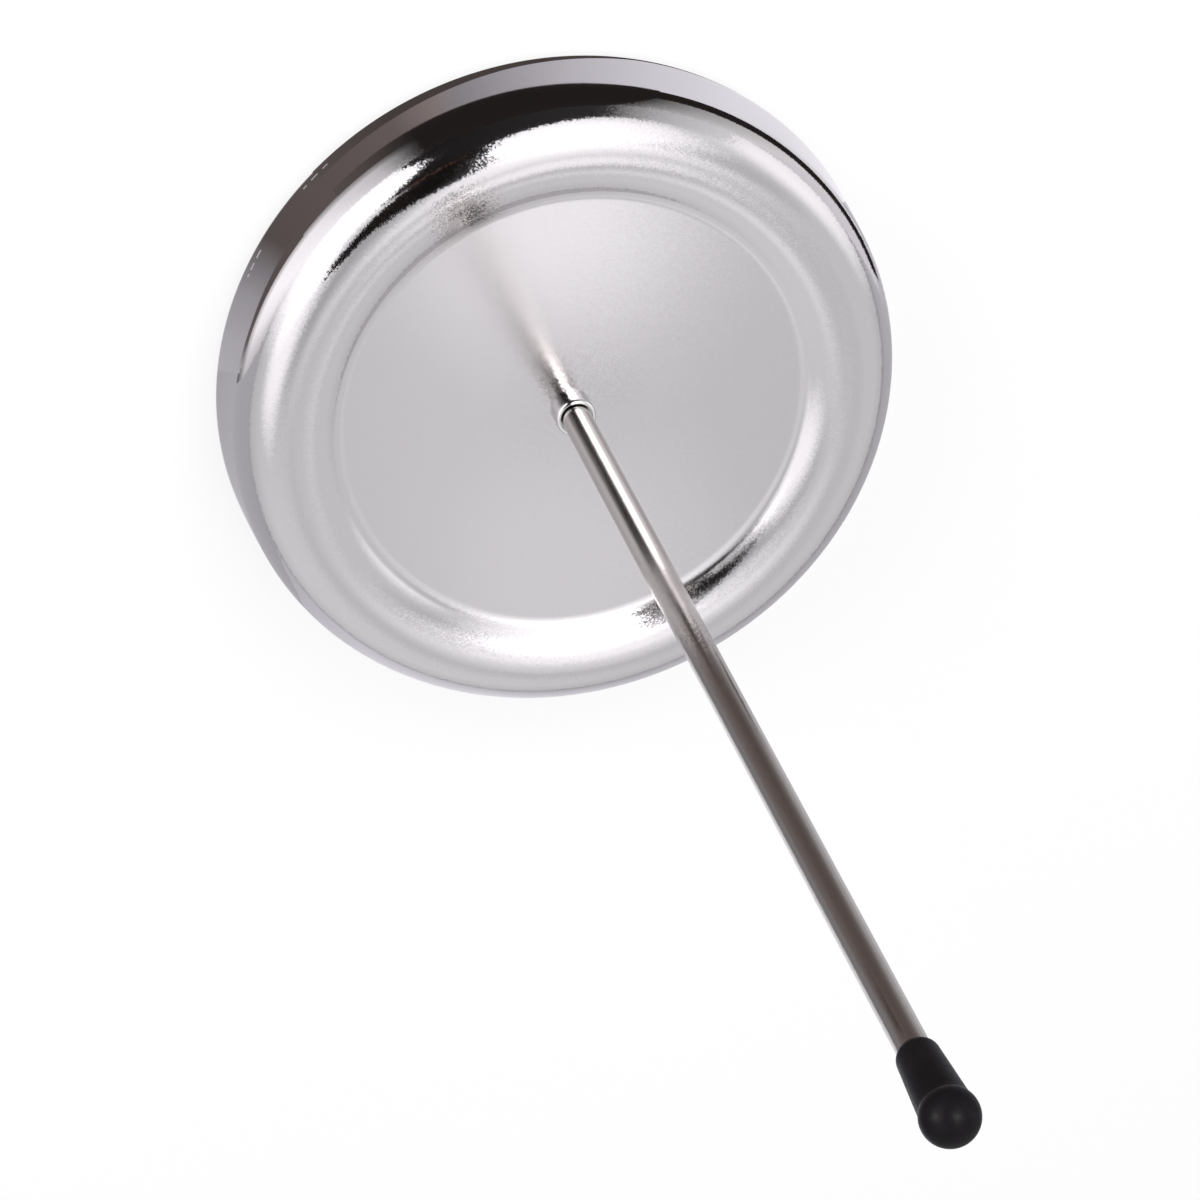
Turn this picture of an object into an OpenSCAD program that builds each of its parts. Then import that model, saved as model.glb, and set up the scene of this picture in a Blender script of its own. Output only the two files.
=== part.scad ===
// Receipt spike for a counter: a weighted, pressed steel base, a pointed rod bolted through it
// and a soft cap over the point. Millimetres, +Z up the rod, z = 0 on the surface it stands on.

/* [Base shell] */
// Diameter of the base at its widest, round the hem
base_d = 80; // [70:1:100]
// Thickness of the pressed sheet
sheet_t = 0.7; // [0.5:0.1:1]
// Outside bend radius of the hem
hem_r = 1.6; // [1.2:0.1:2.5]
// Width of the inturned hem, from the widest circle to its free edge
hem_w = 4; // [3:0.5:6]
// Height of the skirt's straight wall
skirt_h = 7.4; // [5.5:0.1:12]
// Draft of the skirt wall, in degrees
skirt_draft = 3; // [1:0.5:5]
// Radius of the rim's outer shoulder
rim_r = 6.2; // [4:0.1:8]
// Radius of the rim's inner slope
slope_r = 8.1; // [5:0.1:12]
// Depth of the panel below the rim's crest
panel_drop = 2.05; // [1:0.05:3]
// Radius of the crease between the slope and the panel
crease_r = 0.6; // [0.3:0.1:1.2]

/* [Rod] */
// Diameter of the rod
rod_d = 3.5; // [3.4:0.1:5]
// Length of the rod above the collar's floor, up to its tip
rod_l = 147.1; // [100:0.1:200]
// Length of the ground point
point_l = 8.5; // [5:0.5:10]
// Diameter of the blunted tip
tip_d = 0.5; // [0.2:0.1:1]
// Diameter of the threaded tail
tail_d = 3; // [2:0.1:3.1]

/* [Collar] */
// Height of the collar above the panel
collar_h = 1.7; // [0.8:0.1:3]
// Wall and floor thickness of the collar
collar_t = 0.5; // [0.2:0.05:0.5]
// Gap between the rod and the collar's wall
collar_gap = 0.15; // [0.05:0.05:0.3]

/* [Tip cap] */
// Length of the sleeve, from its mouth to the centre of the ball
sleeve_l = 11.1; // [10:0.1:20]
// Thickness of the sleeve's wall just above its mouth
mouth_wall = 0.5; // [0.3:0.05:1]
// Thickness of the sleeve's wall where it runs into the ball
neck_wall = 1; // [0.5:0.05:1.5]
// How far the ball end swells past the neck
ball_swell = 0.3; // [0.2:0.05:1]
// Radius of the rounded mouth
mouth_r = 1.5; // [0.8:0.1:1.5]
// Width of the flat land round the bore at the mouth
mouth_land = 0.12; // [0.05:0.01:0.2]
// Gap between the rod and the cap's bore
cap_gap = 0.05; // [0.02:0.01:0.1]
// Gap between the rod's tip and the end of the bore
tip_gap = 0.3; // [0.2:0.1:1]

/* [Ballast and fastening] */
// Thickness of the ballast plate above the nut's recess
plate_floor = 1; // [0.5:0.1:3]
// Gap between the plate's edge and the skirt
plate_gap = 0.3; // [0.1:0.1:0.6]
// Diameter of the recess for the nut
recess_d = 9; // [8:0.1:14]
// Gap between the nut and the pad
recess_gap = 0.3; // [0.1:0.1:1]
// Outside diameter of the spacer tube
spacer_d = 6.5; // [5:0.1:12]
// Outside diameter of the plain washer
washer_d = 7; // [6:0.1:7.8]
// Thickness of the plain washer
washer_t = 0.5; // [0.3:0.1:0.8]
// Outside diameter of the lock washer
lock_d = 6; // [5:0.1:7]
// Thickness of the lock washer
lock_t = 0.8; // [0.5:0.1:1]
// Width of the split in the lock washer
lock_split = 0.6; // [0.3:0.1:1]
// Width of the nut across its flats
nut_af = 5.5; // [5:0.1:6.5]
// Height of the nut
nut_h = 2.4; // [1.8:0.1:2.6]
// Gap between the tail and the holes that it passes through
hole_gap = 0.1; // [0.05:0.01:0.2]
// Gap between the tail and the nut's bore
thread_gap = 0.05; // [0.02:0.01:0.1]

/* [Pad] */
// How far the pad stands out below the hem
pad_proud = 0.6; // [0.3:0.1:2]
// Gap between the pad's edge and the hem
pad_gap = 0.4; // [0.1:0.1:1]
// Chamfer round the pad's lower edge
pad_chamfer = 0.3; // [0.1:0.1:0.5]

/* [Hidden] */
$fn = 144;

// Straight steps along each bend of a profile
arc_steps = 16;

// How far a cutter runs past what it cuts
past = 1;

// Unit vector at an angle in the (radius, height) plane
function toward(angle) = [cos(angle), sin(angle)];

// Shell profile: centres of its bends and the ends of its straight wall
base_r = base_d / 2;
hem_c = [base_r - hem_r, pad_proud + hem_r];
skirt_foot = hem_c + hem_r * toward(skirt_draft);
skirt_top = skirt_foot + skirt_h * [-tan(skirt_draft), 1];
rim_c = skirt_top - rim_r * toward(skirt_draft);
crest_z = rim_c.y + rim_r;
panel_z = crest_z - panel_drop;
slope_c = [rim_c.x, crest_z - slope_r];
crease_z = panel_z + crease_r;
crease_reach = sqrt((slope_r + crease_r) ^ 2 - (crease_z - slope_c.y) ^ 2);
crease_c = [rim_c.x - crease_reach, crease_z];
crease_angle = atan2(crease_c.y - slope_c.y, crease_c.x - slope_c.x);
panel_under = panel_z - sheet_t;

// Ballast plate, on the hem and inside the skirt
plate_z = pad_proud + sheet_t;
plate_t = recess_gap + nut_h + lock_t + washer_t + plate_floor;
plate_top = plate_z + plate_t;
skirt_inner = skirt_foot - sheet_t * toward(skirt_draft);
plate_r = skirt_inner.x - (plate_top - skirt_inner.y) * tan(skirt_draft) - plate_gap;
plate_chamfer = hem_r - sheet_t + plate_gap;

// Stack in the plate's recess, from the nut up
hole_r = tail_d / 2 + hole_gap;
nut_z = plate_z + recess_gap;
lock_z = nut_z + nut_h;
washer_z = lock_z + lock_t;
recess_top = washer_z + washer_t;

// Rod and collar
rod_r = rod_d / 2;
rod_z = panel_z + collar_t;
tip_z = rod_z + rod_l;
point_z = tip_z - point_l;
collar_r = rod_r + collar_gap + collar_t;

// Cap, down from the end of its bore
bore_r = rod_r + cap_gap;
bore_top = tip_z + tip_gap;
neck_r = bore_r + neck_wall;
ball_r = neck_r + ball_swell;
ball_z = bore_top;
neck_z = ball_z - sqrt(ball_r ^ 2 - neck_r ^ 2);
mouth_z = ball_z - sleeve_l;
land_r = bore_r + mouth_land;
mouth_x = bore_r + mouth_wall - mouth_r;
mouth_c = [mouth_x, mouth_z + sqrt(mouth_r ^ 2 - (land_r - mouth_x) ^ 2)];
land_angle = atan2(mouth_z - mouth_c.y, land_r - mouth_c.x);
sleeve_taper = (neck_wall - mouth_wall) / (neck_z - mouth_c.y);

// Points along an arc; first = 1 leaves out the point that the last arc ended on
function arc(centre, radius, from, to, first = 0) =
    [for (i = [first:arc_steps]) centre + radius * toward(from + (to - from) * i / arc_steps)];

// One face of the sheet, at a depth below the shell's outside, from the hem to the crease
function sheet_face(depth) = concat(
    arc(hem_c, hem_r - depth, -90, skirt_draft),
    arc(rim_c, rim_r - depth, skirt_draft, 90),
    arc(slope_c, slope_r - depth, 90, crease_angle, first = 1),
    arc(crease_c, crease_r + depth, crease_angle - 180, -90, first = 1));

function reversed(points) = [for (i = [len(points) - 1:-1:0]) points[i]];

// Profile of the shell, from the hem's free edge to the hole in the panel and back
module shell_profile() {
    hem_edge = base_r - hem_w;
    polygon(concat(
        [[hem_edge, pad_proud]],
        sheet_face(0),
        [[hole_r, panel_z], [hole_r, panel_under]],
        reversed(sheet_face(sheet_t)),
        [[hem_edge, plate_z]]));
}

// Plain ring with its lower face at a height
module ring(z, outer_r, inner_r, height) {
    translate([0, 0, z]) difference() {
        cylinder(r = outer_r, h = height);
        translate([0, 0, -past]) cylinder(r = inner_r, h = height + 2 * past);
    }
}

module base_shell() {
    color("gainsboro") rotate_extrude() shell_profile();
}

// Thin cup with a rounded lip, which the rod's shoulder stands in
module spike_collar() {
    lip_r = collar_t / 2;
    lip_c = [collar_r - lip_r, panel_z + collar_h - lip_r];
    color("silver") rotate_extrude() polygon(concat(
        [[hole_r, panel_z], [collar_r, panel_z]],
        arc(lip_c, lip_r, 0, 180),
        [[collar_r - collar_t, rod_z], [hole_r, rod_z]]));
}

module spike_rod() {
    color("dimgray") union() {
        translate([0, 0, nut_z]) cylinder(d = tail_d, h = rod_z - nut_z);
        translate([0, 0, rod_z]) cylinder(r = rod_r, h = point_z - rod_z);
        translate([0, 0, point_z]) cylinder(r1 = rod_r, r2 = tip_d / 2, h = point_l);
    }
}

// Outside of the sleeve, run on inside the ball
module sleeve_profile() {
    polygon(concat(
        [[0, mouth_z]],
        arc(mouth_c, mouth_r, land_angle, 0),
        [[bore_r + mouth_wall + sleeve_taper * (ball_z - mouth_c.y), ball_z], [0, ball_z]]));
}

module tip_cap() {
    color("black") difference() {
        union() {
            rotate_extrude() sleeve_profile();
            translate([0, 0, ball_z]) sphere(r = ball_r);
        }
        translate([0, 0, mouth_z - past]) cylinder(r = bore_r, h = bore_top - mouth_z + past);
    }
}

module spacer_tube() {
    color("darkgray") ring(plate_top, spacer_d / 2, hole_r, panel_under - plate_top);
}

module ballast_plate() {
    color("slategray") difference() {
        rotate_extrude() polygon([[0, plate_z], [plate_r - plate_chamfer, plate_z],
            [plate_r, plate_z + plate_chamfer], [plate_r, plate_top], [0, plate_top]]);
        translate([0, 0, plate_z - past]) cylinder(r = hole_r, h = plate_t + 2 * past);
        translate([0, 0, plate_z - past]) cylinder(d = recess_d, h = recess_top - plate_z + past);
    }
}

module plain_washer() {
    color("lightgray") ring(washer_z, washer_d / 2, hole_r, washer_t);
}

module lock_washer() {
    color("gray") difference() {
        ring(lock_z, lock_d / 2, hole_r, lock_t);
        translate([0, -lock_split / 2, lock_z - past]) cube([lock_d, lock_split, lock_t + 2 * past]);
    }
}

module hex_nut() {
    color("lightgray") difference() {
        translate([0, 0, nut_z]) cylinder(d = nut_af / cos(30), h = nut_h, $fn = 6);
        translate([0, 0, nut_z - past]) cylinder(r = tail_d / 2 + thread_gap, h = nut_h + 2 * past);
    }
}

module base_pad() {
    pad_r = base_r - hem_w - pad_gap;
    color("darkslategray") rotate_extrude() polygon([[0, 0], [pad_r - pad_chamfer, 0],
        [pad_r, pad_chamfer], [pad_r, plate_z], [0, plate_z]]);
}

base_shell();
spike_collar();
spike_rod();
tip_cap();
spacer_tube();
ballast_plate();
plain_washer();
lock_washer();
hex_nut();
base_pad();
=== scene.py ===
"""Receipt spike: spun, drawn and moulded pieces with their finishes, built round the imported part."""

import math

import bmesh
import bpy
from bpy.props import FloatProperty, FloatVectorProperty, IntProperty, PointerProperty
from mathutils import Euler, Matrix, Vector


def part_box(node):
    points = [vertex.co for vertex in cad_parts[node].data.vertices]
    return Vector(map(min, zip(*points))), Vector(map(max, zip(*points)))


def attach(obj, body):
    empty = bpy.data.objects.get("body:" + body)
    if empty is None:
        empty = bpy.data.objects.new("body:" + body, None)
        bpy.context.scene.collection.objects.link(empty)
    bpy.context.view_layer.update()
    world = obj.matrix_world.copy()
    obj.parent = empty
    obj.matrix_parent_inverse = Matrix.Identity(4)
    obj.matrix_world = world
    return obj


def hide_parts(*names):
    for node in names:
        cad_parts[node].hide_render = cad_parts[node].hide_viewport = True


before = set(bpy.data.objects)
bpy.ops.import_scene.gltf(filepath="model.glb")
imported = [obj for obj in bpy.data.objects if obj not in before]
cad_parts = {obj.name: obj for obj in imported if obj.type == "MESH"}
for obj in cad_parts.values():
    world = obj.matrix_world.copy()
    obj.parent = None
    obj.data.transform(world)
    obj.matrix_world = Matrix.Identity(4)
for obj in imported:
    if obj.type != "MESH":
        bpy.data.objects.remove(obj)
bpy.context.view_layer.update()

bl_info = {
    "name": "Receipt spike",
    "version": (1, 0, 0),
    "blender": (4, 5, 0),
    "location": "View3D > Sidebar > Spike",
    "description": "Builds a receipt spike's pieces, finishes and studio round its packed part",
    "category": "Object",
}

MM = 0.001
WHITE = (1.0, 1.0, 1.0)

# Edges that turn by more than this are shaded sharp.
HARD_TURN = math.radians(38)
# Points closer than this are one point.
MERGE_DISTANCE = 1e-6
ROUND_STEPS = 96

# The camera's sensor in millimetres, its place in metres and its turns in degrees.
SENSOR_WIDTH = 36.0
CAMERA_RANGE = 20.0
CAMERA_PLACE = (0.0, -0.359507, 0.611313)
CAMERA_TURNS = (-29.7601, -14.2895, 155.5042)

# Brightness of the studio: for matt pieces, and for metal at the horizon and from a rise upwards.
ROOM_LEVEL = 0.35
HORIZON_LEVEL = 0.8
TENT_LEVEL = 0.947
TENT_RISE = 0.34

# Watts that a soft lamp needs for each square metre and each unit of its level.
LAMP_POWER = 4.0

# The floor's size, its gap below the pad and the share of plain white that lifts its shadows.
FLOOR_RADIUS = 2.5
FLOOR_GAP = 0.02 * MM
PAPER_LIFT = 0.8

# How far off the cards stand or end, and the steps of the curved ones.
CARD_REACH = 1.6
STREAK_REACH = 0.95 * CARD_REACH
CARD_STEPS = 48

# Where the camera's side lies on a radial gradient that goes once round from 0 to 1.
GRADIENT_FRONT = 0.25

# Glows that metal sees in the tent: azimuth, elevation, inner and outer angle, level.
TENT_GLOWS = (
    (-42, 54, 7, 36, 0.91),
    (-69, 74, 0, 22, 0.42),
    (28, 20, 15, 45, 1.1),
    (72, 44, 3, 27, 0.72),
    (-97, 10, 2, 33, 0.72),
    (-150, 81, 3, 25, 0.3),
    (-142, 79, 0, 17, 0.37),
    (-40, 58, 3, 12, 7.0),
    (28, 55, 4, 17, -0.75),
    (60, 75, 6, 28, -0.3),
    (135, 22, 5, 41, 0.09),
    (-107, 54, 0, 14, -0.14),
    (180, 55, 0, 25, -0.07),
)

# Glows that hang over the far side: name, place, inner and outer radius in millimetres, level.
NEAR_GLOWS = (
    ("high_glow", (-10, 20, 93), 4, 29, 0.7),
    ("low_glow", (11, 71, 93), 4, 33, 0.24),
    ("left_glow", (20, 42, 92), 4, 27, 0.06),
)

# Small lamps that the cap's ball shows: name, azimuth, elevation.
GLINTS = (("left_glint", 47, 14), ("right_glint", -45, 56))

# Start and end azimuth of the short bright marks along the hem.
SPARKS = ((17.2, 18.4), (19.6, 21.2), (22.4, 23.2), (36.4, 38.0), (39.0, 40.4), (41.2, 41.8))

# Corners of the standing cards as the spike sees them: azimuth, elevation.
TALL_CORNERS = (
    (-80, 0),
    (9, 0),
    (9, 6),
    (5, 13),
    (4, 22),
    (8, 30),
    (14, 36),
    (22, 43),
    (-17, 43),
    (-23, 37),
    (-37, 30),
    (-47, 26),
    (-80, 26),
)
STREAK_CORNERS = (
    (-7, 46.6),
    (2, 45.6),
    (14, 44.8),
    (14, 45.8),
    (2, 47.0),
    (-7, 47.4),
)
CAMERA_CORNERS = (
    (-17, 40),
    (20, 40),
    (15, 47),
    (17, 54),
    (32, 61),
    (40, 67),
    (36, 74),
    (24, 80),
    (10, 85),
    (-40, 86),
    (-23, 79),
    (-22, 74),
    (-19.5, 70),
    (-17, 65),
    (-17, 55),
)

# The small card by the rim: for each corner a place on the rim's shoulder, and the corner's
# azimuth and elevation as that place sees it.
WEDGE_RADIUS = 36.4 * MM
WEDGE_REACH = 60 * MM
WEDGE_CORNERS = (
    (9, 15, 48),
    (10, 18.2, 48.5),
    (13.5, 24.4, 49.3),
    (18.5, 33.9, 51.5),
    (22.8, 42.5, 53.5),
    (26.5, 47.5, 51),
    (29, 56, 56),
    (24, 56, 65.5),
    (20, 48, 67),
    (14.5, 37, 70),
    (10, 26, 70),
    (8, 12, 64),
)

shell_low, shell_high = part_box("base_shell")
collar_low, collar_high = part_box("spike_collar")
rod_low, rod_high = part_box("spike_rod")
cap_low, cap_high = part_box("tip_cap")
pad_low, pad_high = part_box("base_pad")


def length(name, description, default):
    """A size that a user may change, in metres."""
    return FloatProperty(
        name=name, description=description, default=default, min=0.0, precision=5, unit="LENGTH"
    )


def angle(name, description, degrees):
    """An angle that a user may change, given in degrees."""
    return FloatProperty(
        name=name, description=description, default=math.radians(degrees), unit="ROTATION"
    )


def colour(name, description, default):
    """A linear colour that a user may change."""
    return FloatVectorProperty(
        name=name, description=description, default=default, min=0.0, max=1.0, subtype="COLOR"
    )


def share(name, description, default):
    """A number from 0 to 1 that a user may change."""
    return FloatProperty(
        name=name, description=description, default=default, min=0.0, max=1.0, subtype="FACTOR"
    )


class ShellSettings(bpy.types.PropertyGroup):
    """Sizes and finish of the pressed shell"""

    radius: length("Radius", "Widest radius, round the hem", shell_high.x)
    sheet: length("Sheet", "Thickness of the sheet", 0.7 * MM)
    hem_bend: length("Hem bend", "Outside radius of the hem's bend", 1.6 * MM)
    hem_width: length("Hem width", "Width of the inturned hem", 4 * MM)
    skirt_height: length("Skirt height", "Height of the straight wall", 7.4 * MM)
    skirt_draft: angle("Skirt draft", "Lean of the straight wall", 3)
    rim_bend: length("Rim bend", "Radius of the rim's outer shoulder", 6.2 * MM)
    slope_bend: length("Slope bend", "Radius of the rim's inner slope", 8.1 * MM)
    panel_drop: length("Panel drop", "Depth of the panel below the crest", 2.05 * MM)
    crease_bend: length("Crease bend", "Radius of the crease round the panel", 2.6 * MM)
    hole: length("Hole", "Radius of the hole for the rod's tail", 1.6 * MM)
    steps: IntProperty(name="Steps", description="Facets round the shell", default=256, min=32)
    plating: colour("Plating", "Colour of the chrome", (0.553, 0.532, 0.55))
    satin: share("Satin", "Roughness of the satin rim", 0.088)
    panel: share("Panel", "Roughness of the satin panel", 0.19)
    lean: share("Lean", "How far the facets of the rim's grain lean", 0.042)
    panel_lean: share("Panel lean", "How far the facets of the panel's grain lean", 0.015)
    middle: share("Middle", "Roughness of the panel round the rod", 0.13)
    middle_lean: share("Middle lean", "How far the facets lean round the rod", 0.05)
    middle_reach: length("Middle reach", "Radius where the grain round the rod runs out", 10 * MM)
    polish: share("Polish", "Roughness of the polished skirt", 0.045)


class CollarSettings(bpy.types.PropertyGroup):
    """Sizes and finish of the small cup round the rod's foot"""

    radius: length("Radius", "Outside radius of the cup", collar_high.x)
    wall: length("Wall", "Thickness of the cup's wall and floor", 0.5 * MM)
    edge: length("Edge", "Size of the small break inside its lip", 0.06 * MM)
    hole: length("Hole", "Radius of the hole in its floor", 1.6 * MM)
    plating: colour("Plating", "Colour of the chrome", (0.66, 0.65, 0.66))
    polish: share("Polish", "Roughness of the cup", 0.12)


class RodSettings(bpy.types.PropertyGroup):
    """Sizes and finish of the drawn rod"""

    radius: length("Radius", "Radius of the rod", rod_high.x)
    tail_radius: length("Tail radius", "Radius of the threaded tail", 1.5 * MM)
    shoulder: length("Shoulder height", "Height of the shoulder in the cup", collar_low.z + 0.5 * MM)
    point: length("Point length", "Length of the ground point", 8.5 * MM)
    tip: length("Tip radius", "Radius of the blunted tip", 0.25 * MM)
    steel: colour("Steel", "Colour of the drawn steel", (0.56, 0.53, 0.515))
    polish: share("Polish", "Roughness of the drawn steel", 0.17)
    score: length("Score", "Depth of the drawn lines", 0.004 * MM)
    lean: share("Lean", "How far the facets of the rod's grain lean", 0.03)


class CapSettings(bpy.types.PropertyGroup):
    """Sizes and finish of the soft cap"""

    bore: length("Bore", "Radius of the bore", rod_high.x + 0.05 * MM)
    bore_top: length("Bore top", "Height of the end of the bore", rod_high.z + 0.3 * MM)
    ball: length("Ball", "Radius of the ball end", cap_high.x)
    neck: length("Neck", "Radius where the sleeve meets the ball", 2.8 * MM)
    mouth: length("Mouth", "Radius of the sleeve just above its mouth", 2.3 * MM)
    mouth_bend: length("Mouth bend", "Radius of the rounded mouth", 1.5 * MM)
    land: length("Mouth land", "Width of the flat land round the bore", 0.12 * MM)
    neck_fillet: length("Neck fillet", "Size of the fillet in the neck", 0.2 * MM)
    rubber: colour("Rubber", "Colour of the rubber", (0.0042, 0.0036, 0.0042))
    matt: share("Matt", "Roughness of the rubber", 0.36)


class PadSettings(bpy.types.PropertyGroup):
    """Sizes and finish of the pad that the spike stands on"""

    radius: length("Radius", "Radius of the pad", pad_high.x)
    edge: length("Edge", "Radius of the rounded lower edge", 0.3 * MM)
    foam: colour("Foam", "Colour of the foam rubber", (0.02, 0.021, 0.023))


class StageSettings(bpy.types.PropertyGroup):
    """Camera, floor, lamps and cards of the studio"""

    lens: FloatProperty(name="Lens", description="Focal length in millimetres", default=180.0, min=20.0)
    paper: colour("Paper", "Colour of the floor", (0.9, 0.9, 0.9))
    black: colour("Black card", "Colour of the black cards", (0.02, 0.016, 0.015))
    brown: colour("Brown card", "Colour of the brown cards", (0.17, 0.142, 0.135))
    grey: colour("Grey card", "Colour of the grey cards", (0.46, 0.455, 0.48))


class SpikeSettings(bpy.types.PropertyGroup):
    """Everything that a user may change"""

    shell: PointerProperty(type=ShellSettings)
    collar: PointerProperty(type=CollarSettings)
    rod: PointerProperty(type=RodSettings)
    cap: PointerProperty(type=CapSettings)
    pad: PointerProperty(type=PadSettings)
    stage: PointerProperty(type=StageSettings)


class ProfilePen:
    """Draws a wire profile in the XZ plane, X out from the axis, with bmesh operators."""

    def __init__(self, x, z):
        self.bm = bmesh.new()
        made = bmesh.ops.create_vert(self.bm, co=(x, 0.0, z))
        self.tip = made["vert"][0]

    def line(self, x, z, steps=1):
        """A straight stretch to a point."""
        move = (Vector((x, 0.0, z)) - self.tip.co) / steps
        for _ in range(steps):
            made = bmesh.ops.extrude_vert_indiv(self.bm, verts=[self.tip])
            self.tip = made["verts"][0]
            bmesh.ops.translate(self.bm, verts=[self.tip], vec=move)

    def arc(self, x, z, turn, steps):
        """A bend about a centre; a positive turn goes from +X towards +Z."""
        made = bmesh.ops.spin(
            self.bm,
            geom=[self.tip],
            cent=(x, 0.0, z),
            axis=(0.0, -1.0, 0.0),
            angle=turn,
            steps=steps,
        )
        self.tip = next(v for v in made["geom_last"] if isinstance(v, bmesh.types.BMVert))

    def revolve(self, steps):
        """Spins the profile round the Z axis into a closed turn and returns the bmesh."""
        bmesh.ops.spin(
            self.bm,
            geom=self.bm.verts[:] + self.bm.edges[:],
            cent=(0.0, 0.0, 0.0),
            axis=(0.0, 0.0, 1.0),
            angle=math.tau,
            steps=steps,
            use_merge=True,
        )
        bmesh.ops.remove_doubles(self.bm, verts=self.bm.verts[:], dist=MERGE_DISTANCE)
        bmesh.ops.recalc_face_normals(self.bm, faces=self.bm.faces[:])
        return self.bm


def add_object(name, bm, material):
    """Turns a bmesh into a smooth object with one material, sharp where its faces turn hard."""
    for face in bm.faces:
        face.smooth = True
    for edge in bm.edges:
        if len(edge.link_faces) == 2 and edge.calc_face_angle(0.0) > HARD_TURN:
            edge.smooth = False
    mesh = bpy.data.meshes.new(name)
    bm.to_mesh(mesh)
    bm.free()
    mesh.materials.append(material)
    made = bpy.data.objects.new(name, mesh)
    bpy.context.scene.collection.objects.link(made)
    return made


def add_piece(name, bm, material, body, node):
    """A piece that stands for a CAD node and rides on its body."""
    made = add_object(name, bm, material)
    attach(made, body)
    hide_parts(node)
    return made


def fill(tree, node, values):
    """Gives a node its inputs; a value that is a socket is linked, any other is set."""
    for socket, value in values.items():
        if isinstance(value, bpy.types.NodeSocket):
            tree.links.new(value, node.inputs[socket])
        else:
            node.inputs[socket].default_value = value


def place(tree, kind, values=None, **settings):
    """Adds a shader node with its settings and then its inputs."""
    made = tree.nodes.new(kind)
    for name, value in settings.items():
        setattr(made, name, value)
    fill(tree, made, values or {})
    return made


def new_group(name, inputs, outputs, vectors=()):
    """A shader node group with float or vector sockets; returns its tree and its two end nodes."""
    tree = bpy.data.node_groups.new(name, "ShaderNodeTree")
    for label, default in inputs:
        socket = tree.interface.new_socket(name=label, in_out="INPUT", socket_type="NodeSocketFloat")
        socket.default_value = default
    for label in outputs:
        kind = "NodeSocketVector" if label in vectors else "NodeSocketFloat"
        tree.interface.new_socket(name=label, in_out="OUTPUT", socket_type=kind)
    return tree, tree.nodes.new("NodeGroupInput"), tree.nodes.new("NodeGroupOutput")


def use_group(tree, name, **values):
    """Places a shared effect in a material, with its own values; the first use builds it."""
    if name not in bpy.data.node_groups:
        GROUP_MAKERS[name]()
    return place(tree, "ShaderNodeGroup", values, node_tree=bpy.data.node_groups[name])


def bare_tree(owner):
    """Gives a material or a world an empty node tree."""
    owner.use_nodes = True
    owner.node_tree.nodes.clear()
    return owner.node_tree


def new_material(name):
    """A material with a bare Principled BSDF; returns it, its tree and the shader."""
    made = bpy.data.materials.new(name)
    tree = bare_tree(made)
    shader = place(tree, "ShaderNodeBsdfPrincipled")
    place(tree, "ShaderNodeOutputMaterial", {"Surface": shader.outputs["BSDF"]})
    return made, tree, shader


def math_node(tree, operation, first, second):
    """The output of one sum on two values or sockets."""
    return place(tree, "ShaderNodeMath", {0: first, 1: second}, operation=operation).outputs[0]


def vector_node(tree, operation, values, output="Vector"):
    """The output of one vector sum on values or sockets."""
    return place(tree, "ShaderNodeVectorMath", values, operation=operation).outputs[output]


def object_place(tree):
    """A point's place in the coordinates of its object."""
    return place(tree, "ShaderNodeTexCoord").outputs["Object"]


def tint(tree, factor, low, high):
    """A colour that goes from low to high with a factor."""
    values = {"Factor": factor, "A": (*low, 1.0), "B": (*high, 1.0)}
    return place(tree, "ShaderNodeMix", values, data_type="RGBA").outputs["Result"]


def spread(tree, value, low, high, to_low, to_high):
    """Maps a stretch of values onto another, held at its ends."""
    values = {"Value": value, "From Min": low, "From Max": high, "To Min": to_low, "To Max": to_high}
    return place(tree, "ShaderNodeMapRange", values).outputs["Result"]


def soft_step(tree, value, low, high, level):
    """A level that comes in softly as a value goes from low to high."""
    values = {"Value": value, "From Min": low, "From Max": high, "To Min": 0.0, "To Max": level}
    return place(tree, "ShaderNodeMapRange", values, interpolation_type="SMOOTHSTEP").outputs["Result"]


def between(tree, factor, low, high):
    """A value that goes from low to high with a factor."""
    return place(tree, "ShaderNodeMix", {"Factor": factor, "A": low, "B": high}).outputs["Result"]


def shade(tone, factor):
    """A colour made darker or lighter by a factor."""
    return tuple(min(1.0, part * factor) for part in tone)


def grades(tone, *steps):
    """Stops of a ramp: one tone made darker or lighter by a factor at each azimuth."""
    return [(azimuth, shade(tone, factor)) for azimuth, factor in steps]


def build_fine_grain():
    """Fine grain: small soft bumps close together."""
    tree, given, result = new_group("Fine grain", [("Scale", 3500.0)], ["Height", "Tone"])
    where = object_place(tree)
    values = {"Vector": where, "Scale": given.outputs["Scale"], "Detail": 1.0, "Roughness": 0.4}
    grain = place(tree, "ShaderNodeTexNoise", values).outputs["Fac"]
    fill(tree, result, {"Height": grain, "Tone": grain})


def build_pearl_grain():
    """Pearl grain: small facets that each lean a little their own way."""
    inputs = [("Scale", 5000.0)]
    tree, given, result = new_group("Pearl grain", inputs, ["Lean", "Tone"], vectors=["Lean"])
    where = object_place(tree)
    facets = place(tree, "ShaderNodeTexVoronoi", {"Vector": where, "Scale": given.outputs["Scale"]})
    facet = facets.outputs["Color"]
    lean = vector_node(tree, "SUBTRACT", {0: facet, 1: (0.5, 0.5, 0.5)})
    tone = place(tree, "ShaderNodeSeparateXYZ", {"Vector": facet}).outputs["X"]
    fill(tree, result, {"Lean": lean, "Tone": tone})


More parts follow.
